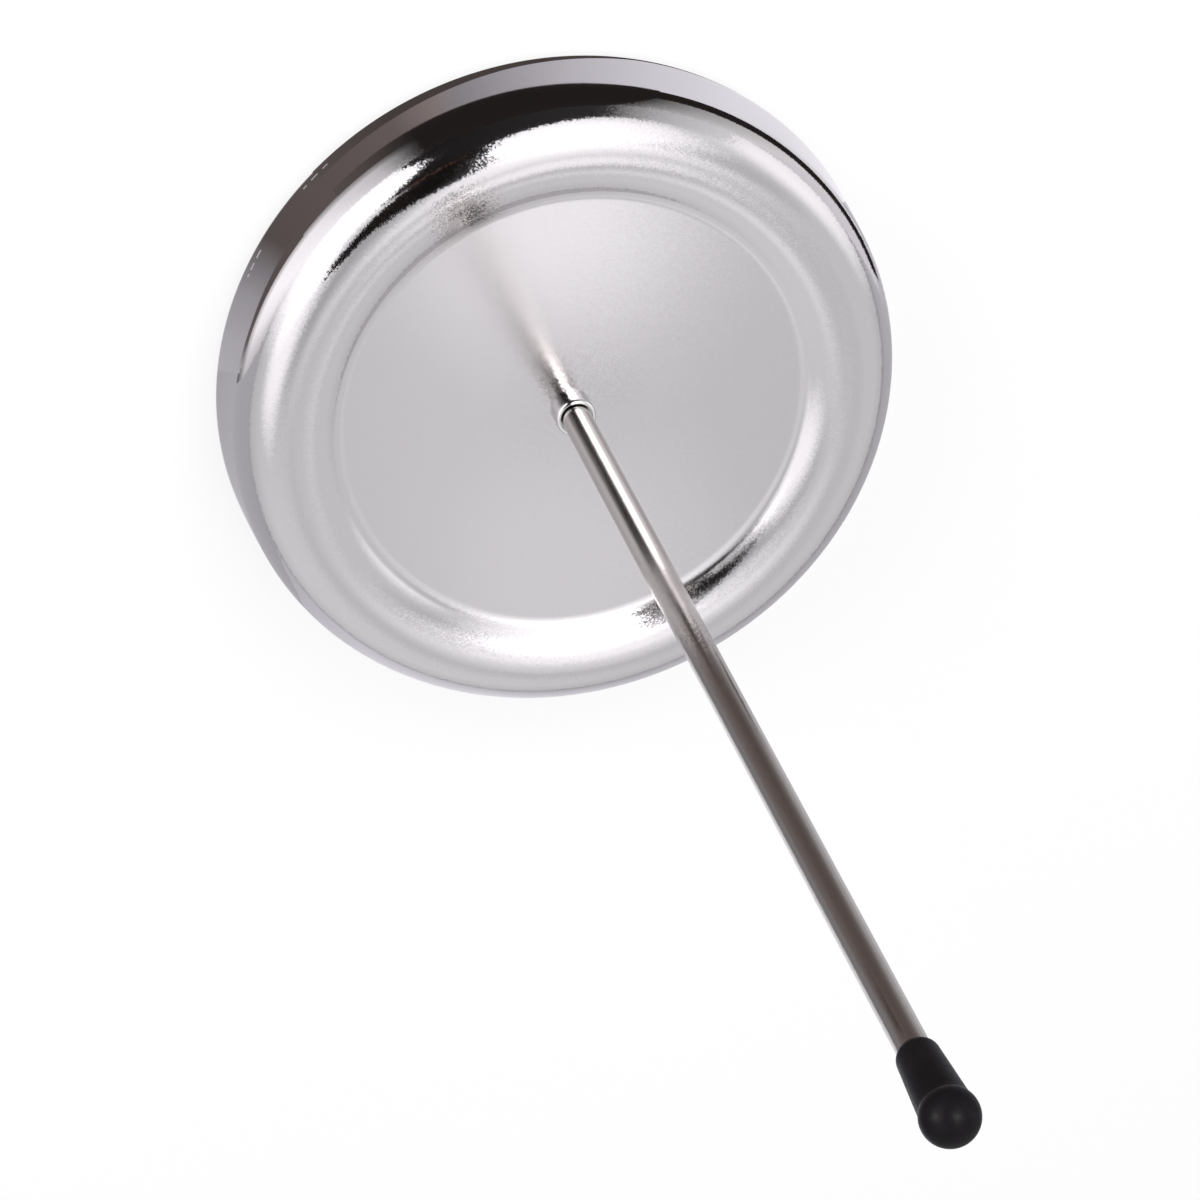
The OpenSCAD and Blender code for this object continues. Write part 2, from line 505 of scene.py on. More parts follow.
def build_handling():
    """Handling: faint broad smudges left by hands and cloths."""
    tree, given, result = new_group("Handling", [("Scale", 60.0)], ["Smudge"])
    where = object_place(tree)
    cloud = place(
        tree,
        "ShaderNodeTexNoise",
        {
            "Vector": where,
            "Scale": given.outputs["Scale"],
            "Detail": 5.0,
            "Roughness": 0.6,
            "Distortion": 0.8,
        },
    )
    fill(tree, result, {"Smudge": spread(tree, cloud.outputs["Fac"], 0.42, 0.72, 0.0, 1.0)})


def build_drawn_lines():
    """Drawn lines: fine scores along the Z axis, as a die leaves them."""
    inputs = [("Across", 9000.0), ("Along", 40.0)]
    tree, given, result = new_group("Drawn lines", inputs, ["Height", "Tone"])
    where = object_place(tree)
    across = given.outputs["Across"]
    axes = {"X": across, "Y": across, "Z": given.outputs["Along"]}
    stretch = place(tree, "ShaderNodeCombineXYZ", axes).outputs["Vector"]
    scaled = vector_node(tree, "MULTIPLY", {0: where, 1: stretch})
    values = {"Vector": scaled, "Scale": 1.0, "Detail": 3.0, "Roughness": 0.6}
    lines = place(tree, "ShaderNodeTexNoise", values).outputs["Fac"]
    fill(tree, result, {"Height": lines, "Tone": spread(tree, lines, 0.3, 0.7, 0.0, 1.0)})


GROUP_MAKERS = {
    "Fine grain": build_fine_grain,
    "Pearl grain": build_pearl_grain,
    "Handling": build_handling,
    "Drawn lines": build_drawn_lines,
}


def bump(tree, shader, height, distance):
    """Raises a shader's surface by a height socket times a distance in metres."""
    made = place(tree, "ShaderNodeBump", {"Height": height, "Distance": distance})
    fill(tree, shader, {"Normal": made.outputs["Normal"]})


def lean_facets(tree, shader, grain, amount, upright):
    """Tilts a shader's upright normal by the lean of its pearl grain times an amount."""
    lean = vector_node(tree, "SCALE", {0: grain.outputs["Lean"], "Scale": amount})
    tilted = vector_node(tree, "ADD", {0: upright, 1: lean})
    fill(tree, shader, {"Normal": vector_node(tree, "NORMALIZE", {0: tilted})})


def add_haze(tree, rough, smudge, amount):
    """A roughness that is raised by an amount where hands have left a smudge."""
    return math_node(tree, "ADD", rough, math_node(tree, "MULTIPLY", smudge, amount))


def satin_chrome(given):
    """Pearl chrome on the rim and the panel that runs into polished chrome on the skirt."""
    satin_start = given.skirt_height + 2.6 * MM
    satin_fade = 3.0 * MM
    panel_edge = given.radius - 11.2 * MM
    panel_fade = 1.0 * MM
    middle_start = given.middle_reach / 3
    made, tree, shader = new_material("satin_pearl_chrome")
    where = object_place(tree)
    axes = place(tree, "ShaderNodeSeparateXYZ", {"Vector": where}).outputs
    flat = place(tree, "ShaderNodeCombineXYZ", {"X": axes["X"], "Y": axes["Y"]}).outputs["Vector"]
    reach = vector_node(tree, "LENGTH", {0: flat}, "Value")
    satin = spread(tree, axes["Z"], satin_start, satin_start + satin_fade, 0.0, 1.0)
    panel = spread(tree, reach, panel_edge - panel_fade, panel_edge, 1.0, 0.0)
    middle = spread(tree, reach, middle_start, given.middle_reach, 1.0, 0.0)
    rim_rough = spread(tree, satin, 0.0, 1.0, given.polish, given.satin)
    panel_rough = spread(tree, middle, 0.0, 1.0, given.panel, given.middle)
    smudge = use_group(tree, "Handling", Scale=55.0).outputs["Smudge"]
    rough = add_haze(tree, between(tree, panel, rim_rough, panel_rough), smudge, amount=0.02)
    grain = use_group(tree, "Pearl grain", Scale=6500.0)
    plating = tint(tree, grain.outputs["Tone"], shade(given.plating, 0.985), shade(given.plating, 1.015))
    fill(tree, shader, {"Base Color": plating, "Roughness": rough, "Metallic": 1.0})
    panel_lean = spread(tree, middle, 0.0, 1.0, given.panel_lean, given.middle_lean)
    lean = math_node(tree, "MULTIPLY", satin, between(tree, panel, given.lean, panel_lean))
    upright = place(tree, "ShaderNodeNewGeometry").outputs["Normal"]
    lean_facets(tree, shader, grain, lean, upright)
    return made


def bright_chrome(given):
    """Plain bright chrome on the small cup."""
    made, tree, shader = new_material("bright_cup_chrome")
    smudge = use_group(tree, "Handling", Scale=400.0).outputs["Smudge"]
    rough = add_haze(tree, given.polish, smudge, amount=0.06)
    plating = tint(tree, smudge, given.plating, shade(given.plating, 0.94))
    fill(tree, shader, {"Base Color": plating, "Roughness": rough, "Metallic": 1.0})
    return made


def lined_steel(name, steel, contrast, polish, haze):
    """Steel with drawn lines along Z; returns its material, tree, shader, lines and roughness."""
    made, tree, shader = new_material(name)
    lines = use_group(tree, "Drawn lines", Across=9000.0, Along=30.0).outputs
    tone = tint(tree, lines["Tone"], *(shade(steel, factor) for factor in contrast))
    rough = spread(tree, lines["Tone"], 0.0, 1.0, polish - haze, polish + haze)
    fill(tree, shader, {"Base Color": tone, "Roughness": rough, "Metallic": 1.0})
    return made, tree, shader, lines, rough


def drawn_tube_steel():
    """Drawn steel with fine scores and smudges, for the spacer tube."""
    score = 0.006 * MM
    made, tree, shader, lines, rough = lined_steel(
        "drawn_spacer_steel", (0.5, 0.49, 0.48), contrast=(0.9, 1.08), polish=0.32, haze=0.04
    )
    smudge = use_group(tree, "Handling", Scale=120.0).outputs["Smudge"]
    fill(tree, shader, {"Roughness": add_haze(tree, rough, smudge, amount=0.04)})
    bump(tree, shader, lines["Height"], score)
    return made


def pearl_rod_steel(given):
    """Drawn steel under a thin pearl plating: faint lines along the rod and leaning facets."""
    made, tree, shader, lines, _ = lined_steel(
        "pearl_rod_steel", given.steel, contrast=(0.95, 1.05), polish=given.polish, haze=0.02
    )
    scored = place(tree, "ShaderNodeBump", {"Height": lines["Height"], "Distance": given.score})
    grain = use_group(tree, "Pearl grain", Scale=7000.0)
    lean_facets(tree, shader, grain, given.lean, scored.outputs["Normal"])
    return made


def matt_rubber(given):
    """Matt moulded rubber with a fine skin and a little dust."""
    dust = 1.5
    skin_depth = 0.012 * MM
    made, tree, shader = new_material("matt_cap_rubber")
    grain = use_group(tree, "Fine grain", Scale=5200.0).outputs
    smudge = use_group(tree, "Handling", Scale=260.0).outputs["Smudge"]
    rubber = tint(tree, smudge, given.rubber, shade(given.rubber, dust))
    rough = spread(tree, grain["Tone"], 0.3, 0.7, given.matt - 0.06, given.matt + 0.08)
    fill(tree, shader, {"Base Color": rubber, "Roughness": rough, "Specular IOR Level": 0.06})
    bump(tree, shader, grain["Height"], skin_depth)
    return made


def pad_rubber(given):
    """Foam rubber with open pores in its skin, the pores darkened as painted shade."""
    pore_painted_shade = 0.45
    pore_depth = 0.05 * MM
    made, tree, shader = new_material("pad_foam_rubber")
    where = object_place(tree)
    pores = place(tree, "ShaderNodeTexVoronoi", {"Vector": where, "Scale": 2600.0})
    skin = spread(tree, pores.outputs["Distance"], 0.1, 0.5, 0.0, 1.0)
    # Painted shade: the pores are coloured darker than the skin round them.
    foam = tint(tree, skin, shade(given.foam, pore_painted_shade), given.foam)
    fill(tree, shader, {"Base Color": foam, "Roughness": 0.85})
    grain = use_group(tree, "Fine grain", Scale=1500.0)
    bump(tree, shader, math_node(tree, "ADD", grain.outputs["Height"], skin), pore_depth)
    return made


def clouded_steel(name, tones, roughs, cloud_scale, grain_scale, depth):
    """Steel with a clouded skin: two tones, two roughnesses and a fine grain of some depth."""
    made, tree, shader = new_material(name)
    cloud = use_group(tree, "Handling", Scale=cloud_scale).outputs["Smudge"]
    tone = tint(tree, cloud, *tones)
    rough = spread(tree, cloud, 0.0, 1.0, *roughs)
    fill(tree, shader, {"Base Color": tone, "Roughness": rough, "Metallic": 1.0})
    grain = use_group(tree, "Fine grain", Scale=grain_scale)
    bump(tree, shader, grain.outputs["Height"], depth)
    return made


class SPIKE_OT_press_shell(bpy.types.Operator):
    """Press the base shell: hem, skirt, rim, crease and panel"""

    bl_idname = "spike.press_shell"
    bl_label = "Press shell"

    def execute(self, context):
        given = context.scene.spike.shell
        draft = given.skirt_draft
        hem_x = given.radius - given.hem_bend
        hem_z = shell_low.z + given.hem_bend
        foot_x = hem_x + given.hem_bend * math.cos(draft)
        foot_z = hem_z + given.hem_bend * math.sin(draft)
        top_x = foot_x - given.skirt_height * math.tan(draft)
        top_z = foot_z + given.skirt_height
        rim_x = top_x - given.rim_bend * math.cos(draft)
        rim_z = top_z - given.rim_bend * math.sin(draft)
        crest = rim_z + given.rim_bend
        slope_z = crest - given.slope_bend
        panel_z = crest - given.panel_drop
        crease_z = panel_z + given.crease_bend
        reach = math.sqrt((given.slope_bend + given.crease_bend) ** 2 - (crease_z - slope_z) ** 2)
        crease_x = rim_x - reach
        slope_turn = math.atan2(reach, crease_z - slope_z)

        crease_band = 0.3 * MM
        hole_band = 1.0 * MM
        pen = ProfilePen(given.radius - given.hem_width, shell_low.z)
        pen.line(hem_x, shell_low.z, steps=3)
        pen.arc(hem_x, hem_z, math.pi / 2 + draft, steps=12)
        pen.line(top_x, top_z, steps=10)
        pen.arc(rim_x, rim_z, math.pi / 2 - draft, steps=40)
        pen.arc(rim_x, slope_z, slope_turn, steps=20)
        pen.arc(crease_x, crease_z, -slope_turn, steps=16)
        pen.line(crease_x - crease_band, panel_z)
        pen.line(given.hole + hole_band, panel_z, steps=8)
        pen.line(given.hole, panel_z)
        bm = pen.revolve(given.steps)
        bmesh.ops.solidify(bm, geom=bm.faces[:], thickness=given.sheet)
        add_piece("pressed_shell", bm, satin_chrome(given), "stand", "base_shell")
        return {"FINISHED"}


class SPIKE_OT_form_collar(bpy.types.Operator):
    """Form the small cup round the rod's foot"""

    bl_idname = "spike.form_collar"
    bl_label = "Form collar"

    def execute(self, context):
        given = context.scene.spike.collar
        lip = given.wall - given.edge
        floor_z = collar_low.z + given.wall
        pen = ProfilePen(given.hole, collar_low.z)
        pen.line(given.radius, collar_low.z)
        pen.line(given.radius, collar_high.z - lip, steps=3)
        pen.arc(given.radius - lip, collar_high.z - lip, math.pi / 2, steps=12)
        pen.line(given.radius - given.wall, collar_high.z - given.edge)
        pen.line(given.radius - given.wall, floor_z, steps=3)
        pen.line(given.hole, floor_z)
        pen.line(given.hole, collar_low.z)
        bm = pen.revolve(ROUND_STEPS)
        add_piece("foot_cup", bm, bright_chrome(given), "stand", "spike_collar")
        return {"FINISHED"}


class SPIKE_OT_draw_rod(bpy.types.Operator):
    """Draw the rod with its ground point and its tail"""

    bl_idname = "spike.draw_rod"
    bl_label = "Draw rod"

    def execute(self, context):
        given = context.scene.spike.rod
        tail_chamfer = 0.35 * MM
        edge_break = 0.12 * MM
        point_z = rod_high.z - given.point
        pen = ProfilePen(0.0, rod_low.z)
        pen.line(given.tail_radius - tail_chamfer, rod_low.z)
        pen.line(given.tail_radius, rod_low.z + tail_chamfer)
        pen.line(given.tail_radius, given.shoulder, steps=4)
        pen.line(given.radius - edge_break, given.shoulder)
        pen.line(given.radius, given.shoulder + edge_break)
        pen.line(given.radius, point_z, steps=24)
        pen.line(given.tip, rod_high.z - given.tip / 2, steps=6)
        pen.line(given.tip / 2, rod_high.z)
        pen.line(0.0, rod_high.z)
        bm = pen.revolve(ROUND_STEPS)
        add_piece("drawn_rod", bm, pearl_rod_steel(given), "stand", "spike_rod")
        return {"FINISHED"}


class SPIKE_OT_mould_cap(bpy.types.Operator):
    """Mould the soft cap: rounded mouth, tapered sleeve, neck and ball end"""

    bl_idname = "spike.mould_cap"
    bl_label = "Mould cap"

    def execute(self, context):
        given = context.scene.spike.cap
        ball_z = cap_high.z - given.ball
        neck_rise = math.sqrt(given.ball**2 - given.neck**2)
        neck_z = ball_z - neck_rise
        land = given.bore + given.land
        bend_x = given.mouth - given.mouth_bend
        bend_rise = math.sqrt(given.mouth_bend**2 - (land - bend_x) ** 2)
        bend_z = cap_low.z + bend_rise
        pen = ProfilePen(0.0, given.bore_top)
        pen.line(given.bore, given.bore_top, steps=4)
        pen.line(given.bore, cap_low.z, steps=8)
        pen.line(land, cap_low.z)
        pen.arc(bend_x, bend_z, math.atan2(bend_rise, land - bend_x), steps=10)
        pen.line(given.neck, neck_z, steps=10)
        pen.arc(0.0, ball_z, math.pi / 2 + math.atan2(neck_rise, given.neck), steps=28)
        bm = pen.revolve(ROUND_STEPS)
        ring = {v for v in bm.verts if abs(v.co.z - neck_z) < MERGE_DISTANCE and v.co.xy.length > land}
        crease = [edge for edge in bm.edges if ring.issuperset(edge.verts)]
        bmesh.ops.bevel(
            bm,
            geom=crease,
            offset=given.neck_fillet,
            segments=3,
            profile=0.5,
            affect="EDGES",
            material=-1,
        )
        bmesh.ops.recalc_face_normals(bm, faces=bm.faces[:])
        add_piece("moulded_cap", bm, matt_rubber(given), "cap", "tip_cap")
        return {"FINISHED"}


class SPIKE_OT_cut_pad(bpy.types.Operator):
    """Cut the pad that the spike stands on"""

    bl_idname = "spike.cut_pad"
    bl_label = "Cut pad"

    def execute(self, context):
        given = context.scene.spike.pad
        pen = ProfilePen(0.0, pad_low.z)
        pen.line(given.radius - given.edge, pad_low.z, steps=6)
        pen.arc(given.radius - given.edge, pad_low.z + given.edge, math.pi / 2, steps=6)
        pen.line(given.radius, pad_high.z, steps=2)
        pen.line(0.0, pad_high.z, steps=6)
        bm = pen.revolve(steps=160)
        foot = add_piece("foot_pad", bm, pad_rubber(given), "stand", "base_pad")
        return {"FINISHED"}


class SPIKE_OT_finish_hardware(bpy.types.Operator):
    """Give the ballast plate, spacer, washers and nut their finishes"""

    bl_idname = "spike.finish_hardware"
    bl_label = "Finish hardware"

    def execute(self, context):
        zinc = clouded_steel(
            "zinc_plated_steel",
            tones=((0.60, 0.61, 0.62), (0.55, 0.54, 0.49)),
            roughs=(0.3, 0.46),
            cloud_scale=350.0,
            grain_scale=6000.0,
            depth=0.006 * MM,
        )
        rolled = clouded_steel(
            "rolled_ballast_steel",
            tones=((0.19, 0.19, 0.2), (0.1, 0.09, 0.085)),
            roughs=(0.42, 0.68),
            cloud_scale=90.0,
            grain_scale=1800.0,
            depth=0.02 * MM,
        )
        finishes = {
            "spacer_tube": drawn_tube_steel(),
            "ballast_plate": rolled,
            "plain_washer": zinc,
            "lock_washer": zinc,
            "hex_nut": zinc,
        }
        for node, material in finishes.items():
            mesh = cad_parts[node].data
            mesh.materials.clear()
            mesh.materials.append(material)
        return {"FINISHED"}


def heading(azimuth, elevation=0.0):
    """Unit vector towards an azimuth, 0 on the camera's side, and an elevation, in degrees."""
    turn = math.radians(azimuth)
    rise = math.radians(elevation)
    flat = math.cos(rise)
    return Vector((math.sin(turn) * flat, -math.cos(turn) * flat, math.sin(rise)))


def add_camera(given):
    """The camera at the photograph's angle."""
    lens = bpy.data.cameras.new("studio_camera")
    lens.lens = given.lens
    lens.sensor_width = SENSOR_WIDTH
    lens.clip_end = CAMERA_RANGE
    camera = bpy.data.objects.new("studio_camera", lens)
    camera.location = CAMERA_PLACE
    camera.rotation_euler = Euler([math.radians(turn) for turn in CAMERA_TURNS], "XYZ")
    bpy.context.scene.collection.objects.link(camera)
    bpy.context.scene.camera = camera


def ray_kinds(tree):
    """Factors of 1 on camera rays, and on glossy or transmission rays."""
    path = place(tree, "ShaderNodeLightPath").outputs
    gloss = math_node(tree, "MAXIMUM", path["Is Glossy Ray"], path["Is Transmission Ray"])
    return path["Is Camera Ray"], gloss


def add_world():
    """A white studio; polished metal also sees the glow of soft lamps through its tent."""
    world = bpy.data.worlds.new("studio_world")
    tree = bare_tree(world)
    camera, gloss = ray_kinds(tree)
    where = place(tree, "ShaderNodeTexCoord").outputs["Generated"]
    rise = place(tree, "ShaderNodeSeparateXYZ", {"Vector": where}).outputs["Z"]
    tent = spread(tree, rise, 0.0, TENT_RISE, HORIZON_LEVEL, TENT_LEVEL)
    for azimuth, elevation, inner, outer, level in TENT_GLOWS:
        values = {0: where, 1: heading(azimuth, elevation)}
        facing = vector_node(tree, "DOT_PRODUCT", values, "Value")
        edge = math.cos(math.radians(outer))
        core = math.cos(math.radians(inner))
        tent = math_node(tree, "ADD", tent, soft_step(tree, facing, edge, core, level))
    plain = spread(tree, camera, 0.0, 1.0, ROOM_LEVEL, 1.0)
    strength = between(tree, gloss, plain, tent)
    light = place(tree, "ShaderNodeBackground", {"Color": (*WHITE, 1.0), "Strength": strength})
    place(tree, "ShaderNodeOutputWorld", {"Surface": light.outputs["Background"]})
    bpy.context.scene.world = world


def matt_paper(name, tone):
    """Plain matt paper; returns its material, tree and shader."""
    made, tree, shader = new_material(name)
    fill(tree, shader, {"Base Color": (*tone, 1.0), "Roughness": 1.0, "Specular IOR Level": 0.0})
    return made, tree, shader


def floor_paper(given):
    """White paper that keeps a soft shadow and lets a camera look up from below."""
    made, tree, shader = matt_paper("floor_paper", given.paper)
    white = place(tree, "ShaderNodeEmission", {"Color": (*WHITE, 1.0), "Strength": 1.0})
    camera, gloss = ray_kinds(tree)
    lift = math_node(tree, "MULTIPLY", math_node(tree, "MAXIMUM", camera, gloss), PAPER_LIFT)
    lifted = place(tree, "ShaderNodeMixShader", {0: lift, 1: shader.outputs[0], 2: white.outputs[0]})
    clear = place(tree, "ShaderNodeBsdfTransparent")
    below = place(tree, "ShaderNodeNewGeometry").outputs["Backfacing"]
    both = place(tree, "ShaderNodeMixShader", {0: below, 1: lifted.outputs[0], 2: clear.outputs[0]})
    output = next(node for node in tree.nodes if node.type == "OUTPUT_MATERIAL")
    fill(tree, output, {"Surface": both.outputs[0]})
    return made


def round_ramp(tree, stops):
    """A colour that changes round the Z axis by stops of azimuth and colour."""
    where = object_place(tree)
    turn = place(tree, "ShaderNodeTexGradient", {"Vector": where}, gradient_type="RADIAL")
    made = place(tree, "ShaderNodeValToRGB", {"Fac": turn.outputs["Fac"]})
    ramp = made.color_ramp
    while len(ramp.elements) < len(stops):
        ramp.elements.new(1.0)
    for element, (azimuth, tone) in zip(ramp.elements, stops):
        element.position = GRADIENT_FRONT + azimuth / 360
        element.color = (*tone, 1.0)
    return made.outputs["Color"]


def lit_paper(name, tone, level, stops, fade=None):
    """Paper lit from behind, its glow graded round the base and, with a fade, out from it."""
    made, tree, shader = matt_paper(name, tone)
    glow = round_ramp(tree, stops)
    if fade:
        start, end, least = fade
        where = object_place(tree)
        reach = vector_node(tree, "LENGTH", {0: where}, "Value")
        part = spread(tree, reach, start * MM, end * MM, least, 1.0)
        glow = vector_node(tree, "SCALE", {0: glow, "Scale": part})
    fill(tree, shader, {"Emission Color": glow, "Emission Strength": level})
    return made


def clear_glow(name):
    """A white glow with nothing behind it; returns its material, tree and emission."""
    made = bpy.data.materials.new(name)
    tree = bare_tree(made)
    glow = place(tree, "ShaderNodeEmission", {"Color": (*WHITE, 1.0), "Strength": 1.0})
    clear = place(tree, "ShaderNodeBsdfTransparent")
    both = place(tree, "ShaderNodeAddShader", {0: glow.outputs[0], 1: clear.outputs[0]})
    place(tree, "ShaderNodeOutputMaterial", {"Surface": both.outputs[0]})
    return made, tree, glow


def even_paper(name, tone, glow):
    """Paper lit evenly from behind."""
    made, tree, shader = matt_paper(name, tone)
    fill(tree, shader, {"Emission Color": (*glow, 1.0), "Emission Strength": 1.0})
    return made


def add_floor(given):
    """The floor, a disc at the height that the pad stands on."""
    bm = bmesh.new()
    bmesh.ops.create_circle(bm, cap_ends=True, segments=ROUND_STEPS, radius=FLOOR_RADIUS)
    bmesh.ops.translate(bm, verts=bm.verts[:], vec=(0.0, 0.0, pad_low.z - FLOOR_GAP))
    add_object("studio_floor", bm, floor_paper(given))


def show_in_gloss_only(card):
    """A card that the metal sees and the camera doesn't."""
    card.visible_camera = False
    card.visible_diffuse = False
    card.visible_shadow = False
    return card


def light_only(card, *names):
    """Keeps a card's or a lamp's glow for some pieces; the others see a card's bare paper."""
    seen_by = bpy.data.collections.new(card.name + "_seen_by")
    for name in names:
        seen_by.objects.link(bpy.data.objects[name])
    card.light_linking.receiver_collection = seen_by


def add_outline_card(name, paper, spots):
    """A card drawn from corner to corner and filled."""
    bm = bmesh.new()
    first = bmesh.ops.create_vert(bm, co=spots[0])["vert"][0]
    last = first
    for start, end in zip(spots, spots[1:]):
        last = bmesh.ops.extrude_vert_indiv(bm, verts=[last])["verts"][0]
        bmesh.ops.translate(bm, verts=[last], vec=end - start)
    bmesh.ops.contextual_create(bm, geom=[last, first])
    bmesh.ops.contextual_create(bm, geom=bm.edges[:])
    return show_in_gloss_only(add_object(name, bm, paper))


def add_standing_card(name, paper, corners, reach=CARD_REACH):
    """A card seen from the spike between corner directions, each an azimuth and an elevation."""
    spots = [heading(azimuth, elevation) * reach for azimuth, elevation in corners]
    add_outline_card(name, paper, spots)


def add_wedge_card(paper):
    """A small card close to the rim, each corner seen from its own place on the shoulder."""
    below_crest = 0.8 * MM
    shoulder = Vector((0.0, 0.0, shell_high.z - below_crest))
    spots = []
    for place_azimuth, azimuth, elevation in WEDGE_CORNERS:
        foot = heading(place_azimuth) * WEDGE_RADIUS + shoulder
        spots.append(foot + heading(azimuth, elevation) * WEDGE_REACH)
    add_outline_card("wedge_card", paper, spots)


def add_floor_card(name, paper, turn, ring, lift, centre=Vector()):
    """A card on the floor, part of a ring: its azimuths, and its radii and lift in millimetres."""
    start, end = turn
    inner, outer = ring
    bm = bmesh.new()
    corner = centre + heading(start) * inner * MM + Vector((0.0, 0.0, lift * MM))
    near = bmesh.ops.create_vert(bm, co=corner)["vert"]
    far = bmesh.ops.extrude_vert_indiv(bm, verts=near)
    bmesh.ops.translate(bm, verts=far["verts"], vec=heading(start) * (outer - inner) * MM)
    bmesh.ops.spin(
        bm,
        geom=bm.verts[:] + bm.edges[:],
        cent=centre,
        axis=(0.0, 0.0, 1.0),
        angle=math.radians(end - start),
        steps=CARD_STEPS,
    )
    return show_in_gloss_only(add_object(name, bm, paper))


def add_front_cards(given, black):
    """The cards on the floor before the base: skirt, hem, brow and line, sparks and black front."""
    brown = given.brown
    lilac = given.grey
    skirt_stops = [
        *grades(lilac, (-88, 1.75), (-60, 1.95), (-46, 1.8), (-30, 1.42), (-20, 1.05), (-10, 0.7)),
        *grades(brown, (-3, 1.6), (4, 0.95), (14, 0.78), (34, 0.62)),
        *grades(lilac, (45, 0.85), (54, 1.08), (60, 1.12)),
    ]
    skirt = lit_paper("skirt_card_paper", given.black, 1.2, skirt_stops)
    add_floor_card("skirt_card", skirt, (-100, 60), (40.5, 47), 0.15)
    dark = lit_paper("dark_card_paper", given.black, 1.0, grades(brown, (4, 0.45), (18, 0.75)))
    aside = heading(20) * 2.8 * MM
    add_floor_card("hem_card", dark, (-64, 20), (36, 39.6), 0.2, centre=aside)
    brow_stops = grades(brown, (2, 0.0), (12, 0.55), (20, 0.75))
    brow = lit_paper("brow_card_paper", given.black, 1.0, brow_stops)
    add_floor_card("brow_card", brow, (-46, 20), (44.8, 47.2), 0.2)
    line_stops = grades(brown, (30, 0.8), (46, 0.75), (54, 1.1)) + grades(lilac, (59, 1.3))
    line = lit_paper("line_card_paper", given.black, 1.0, line_stops)
    add_floor_card("line_card", line, (30, 59), (44.6, 48.5), 0.3)
    spark = even_paper("spark_card_paper", given.black, shade(WHITE, 0.8))
    for number, turn in enumerate(SPARKS):
        add_floor_card(f"hem_spark_{number}", spark, turn, (41.55, 41.7), 0.3)
    add_floor_card("front_card", black, (-47, 2), (45.6, CARD_REACH / MM), 0.25)


def add_side_cards(given, black):
    """The cards on the floor at both sides; most of them glow for some pieces only."""
    far = CARD_REACH / MM
    brown = given.brown
    lilac = given.grey
    rod_stops = [
        *grades(WHITE, (-84, 0.4), (-70, 0.27)),
        *grades(brown, (-54, 0.95), (-26, 0.68), (0, 0.76), (26, 1.0), (54, 1.3)),
        *grades(lilac, (62, 0.5)),
    ]
    rod_paper, tree, glow = clear_glow("rod_card_glow")
    fill(tree, glow, {"Color": round_ramp(tree, rod_stops)})
    rod_card = add_floor_card("rod_card", rod_paper, (-84, 62), (47.5, far), 0.4)
    light_only(rod_card, "drawn_rod", "moulded_cap")
    aside = heading(-140) * 6 * MM
    add_floor_card("side_card", black, (-104, -38), (46, 57.5), 0.35, centre=aside)
    strip = even_paper("strip_card_paper", shade(lilac, 0.9), shade(WHITE, 0.55))
    light_only(add_floor_card("strip_card", strip, (-112, -84), (60, far), 0.12), "pressed_shell")
    flank_stops = grades(
        WHITE, (-88, 1.0), (-80, 0.92), (-70, 0.72), (-60, 0.5), (-52, 0.24), (-47, 0.04)
    )
    flank = lit_paper("flank_card_paper", given.black, 1.15, flank_stops)
    light_only(add_floor_card("flank_card", flank, (-84, -47), (57, far), 0.1), "pressed_shell")
    left_stops = [
        *grades(WHITE, (2, 0.0), (5, 0.09), (8, 0.27), (12, 0.5), (20, 0.67)),
        *grades(WHITE, (30, 0.88), (44, 0.98), (52, 0.86), (57, 0.65), (62, 0.5)),
    ]
    left = lit_paper("left_card_paper", given.black, 1.75, left_stops, fade=(45.5, 55.5, 0.15))
    light_only(add_floor_card("left_card", left, (2, 62), (45, far), 0.1), "pressed_shell")
    flat = even_paper("flat_card_paper", shade(lilac, 0.5), shade(lilac, 0.78))
    light_only(add_floor_card("flat_card", flat, (60, 112), (40.5, far), 0.05), "pressed_shell")


def add_back_card(given):
    """The grey card on the floor behind the base."""
    lilac = given.grey
    back, tree, shader = matt_paper("back_card_paper", lilac)
    back_stops = [
        *grades(lilac, (108, 1.4), (130, 1.9), (148, 1.9), (172, 1.5)),
        *grades(lilac, (192, 1.28), (216, 1.22), (242, 1.3), (262, 1.6)),
    ]
    fill(tree, shader, {"Base Color": round_ramp(tree, back_stops)})
    add_floor_card("back_card", back, (110, 262), (40.5, CARD_REACH / MM), 0.08)


def add_standing_cards(given, black):
    """The dark cards that stand on the camera's side."""
    tall_stops = grades(WHITE, (-80, 1.0), (-70, 0.84), (-60, 0.66), (-52, 0.36), (-46, 0.03), (20, 0.0))
    tall = lit_paper("tall_card_paper", given.black, 1.1, tall_stops)
    add_standing_card("tall_card", tall, TALL_CORNERS)
    add_standing_card("camera_card", black, CAMERA_CORNERS)
    add_wedge_card(black)
    streak = even_paper("streak_card_paper", given.black, (0.2, 0.1, 0.075))
    add_standing_card("streak_card", streak, STREAK_CORNERS, reach=STREAK_REACH)


def add_near_glows():
    """Soft round glows that hang close above the far side, seen in the satin panel."""
    for name, spot, inner, outer, level in NEAR_GLOWS:
        centre = Vector(spot) * MM
        paper, tree, glow = clear_glow(name + "_paper")
        where = object_place(tree)
        offset = vector_node(tree, "DISTANCE", {0: where, 1: centre}, "Value")
        strength = soft_step(tree, offset, outer * MM, inner * MM, level)
        fill(tree, glow, {"Strength": strength})
        bm = bmesh.new()
        bmesh.ops.create_circle(bm, cap_ends=True, segments=64, radius=outer * MM)
        bmesh.ops.translate(bm, verts=bm.verts[:], vec=centre)
        light_only(show_in_gloss_only(add_object(name, bm, paper)), "pressed_shell")


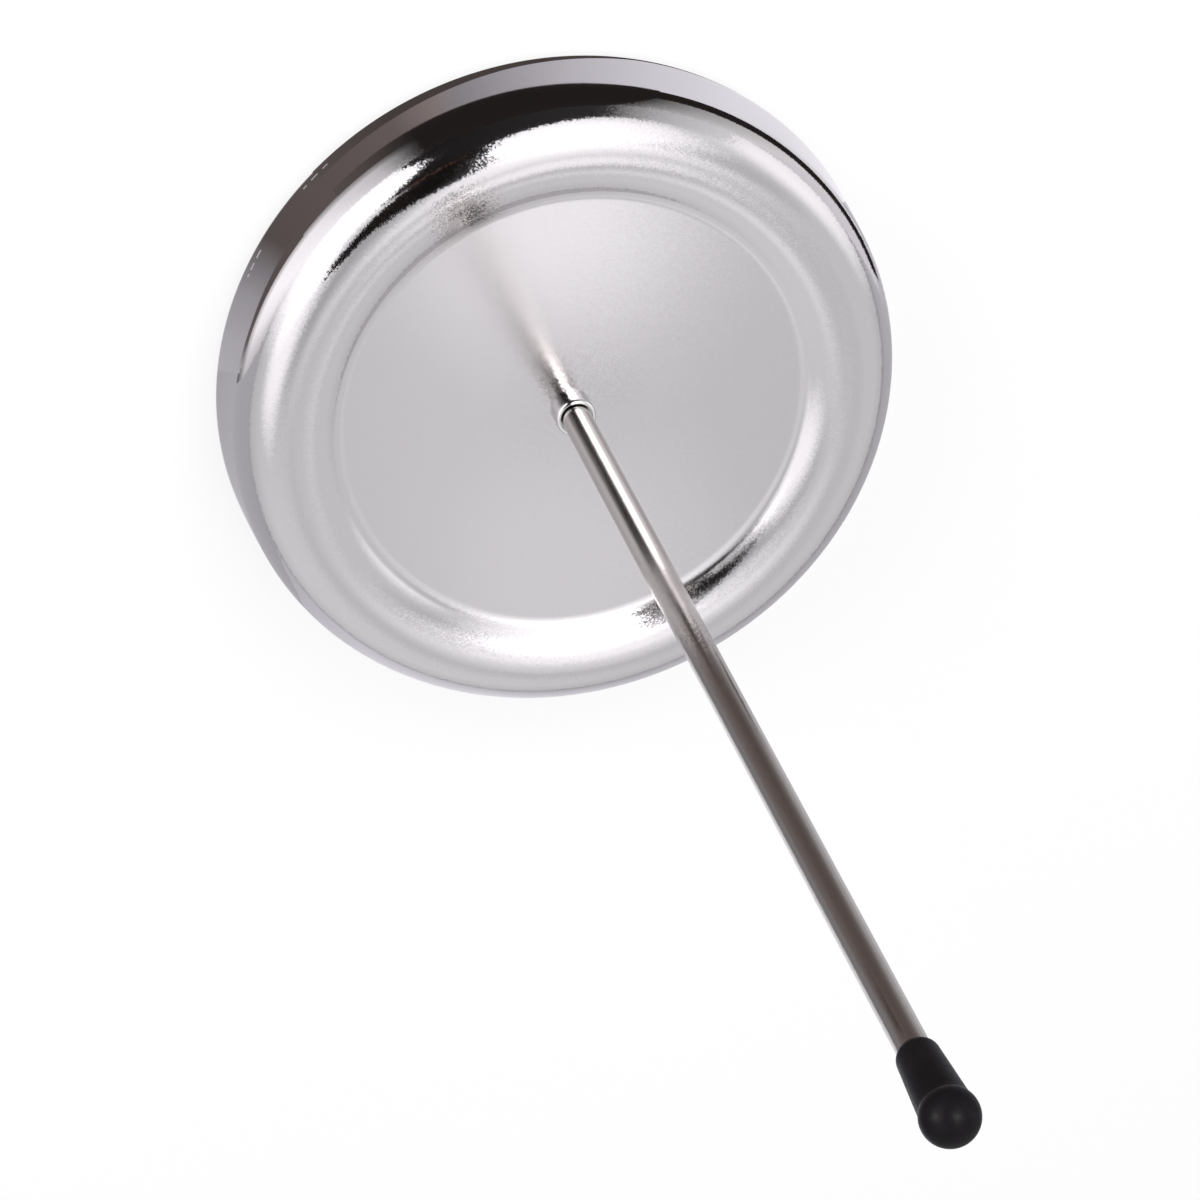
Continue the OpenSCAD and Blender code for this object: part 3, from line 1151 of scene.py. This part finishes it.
def add_softbox(name, azimuth, elevation, distance, width, height, level, aim=Vector()):
    """A soft lamp that faces a point on the spike; level is its brightness as the spike sees it."""
    lamp = bpy.data.lights.new(name, "AREA")
    lamp.shape = "RECTANGLE"
    lamp.size = width
    lamp.size_y = height
    lamp.energy = level * LAMP_POWER * width * height
    made = bpy.data.objects.new(name, lamp)
    made.location = aim + heading(azimuth, elevation) * distance
    made.rotation_euler = (-heading(azimuth, elevation)).to_track_quat("-Z", "Y").to_euler()
    made.visible_camera = False
    made.visible_glossy = False
    bpy.context.scene.collection.objects.link(made)
    return made


def add_cap_glints():
    """Two small lamps that show as faint soft spots on the ball of the cap."""
    ball = Vector((0.0, 0.0, cap_high.z))
    distance = 0.6
    side = 0.22
    for name, azimuth, elevation in GLINTS:
        lamp = add_softbox(name, azimuth, elevation, distance, side, side, level=10.0, aim=ball)
        lamp.visible_glossy = True
        light_only(lamp, "moulded_cap")


class SPIKE_OT_set_stage(bpy.types.Operator):
    """Set the stage: camera, floor, world, soft lamps and cards"""

    bl_idname = "spike.set_stage"
    bl_label = "Set stage"

    def execute(self, context):
        given = context.scene.spike.stage
        context.scene.view_settings.view_transform = "Standard"
        add_camera(given)
        add_world()
        add_floor(given)
        add_softbox("high_softbox", -57, 62, distance=0.7, width=0.46, height=0.85, level=2.8)
        add_softbox("side_softbox", 34, 24, distance=0.6, width=0.5, height=0.5, level=2.8)
        add_cap_glints()
        black, _, _ = matt_paper("black_card_paper", given.black)
        add_standing_cards(given, black)
        add_near_glows()
        add_front_cards(given, black)
        add_side_cards(given, black)
        add_back_card(given)
        return {"FINISHED"}


class SPIKE_PT_sidebar(bpy.types.Panel):
    """Lists the steps that build the spike"""

    bl_idname = "SPIKE_PT_sidebar"
    bl_label = "Receipt spike"
    bl_space_type = "VIEW_3D"
    bl_region_type = "UI"
    bl_category = "Spike"

    def draw(self, context):
        for step in STEPS:
            self.layout.operator(step.bl_idname)


STEPS = (
    SPIKE_OT_press_shell,
    SPIKE_OT_form_collar,
    SPIKE_OT_draw_rod,
    SPIKE_OT_mould_cap,
    SPIKE_OT_cut_pad,
    SPIKE_OT_finish_hardware,
    SPIKE_OT_set_stage,
)

CLASSES = (
    ShellSettings,
    CollarSettings,
    RodSettings,
    CapSettings,
    PadSettings,
    StageSettings,
    SpikeSettings,
    *STEPS,
    SPIKE_PT_sidebar,
)


def register():
    for cls in CLASSES:
        bpy.utils.register_class(cls)
    bpy.types.Scene.spike = PointerProperty(type=SpikeSettings)


def unregister():
    del bpy.types.Scene.spike
    for cls in reversed(CLASSES):
        bpy.utils.unregister_class(cls)


def main():
    register()
    bpy.ops.spike.press_shell()
    bpy.ops.spike.form_collar()
    bpy.ops.spike.draw_rod()
    bpy.ops.spike.mould_cap()
    bpy.ops.spike.cut_pad()
    bpy.ops.spike.finish_hardware()
    bpy.ops.spike.set_stage()


if __name__ == "__main__":
    main()
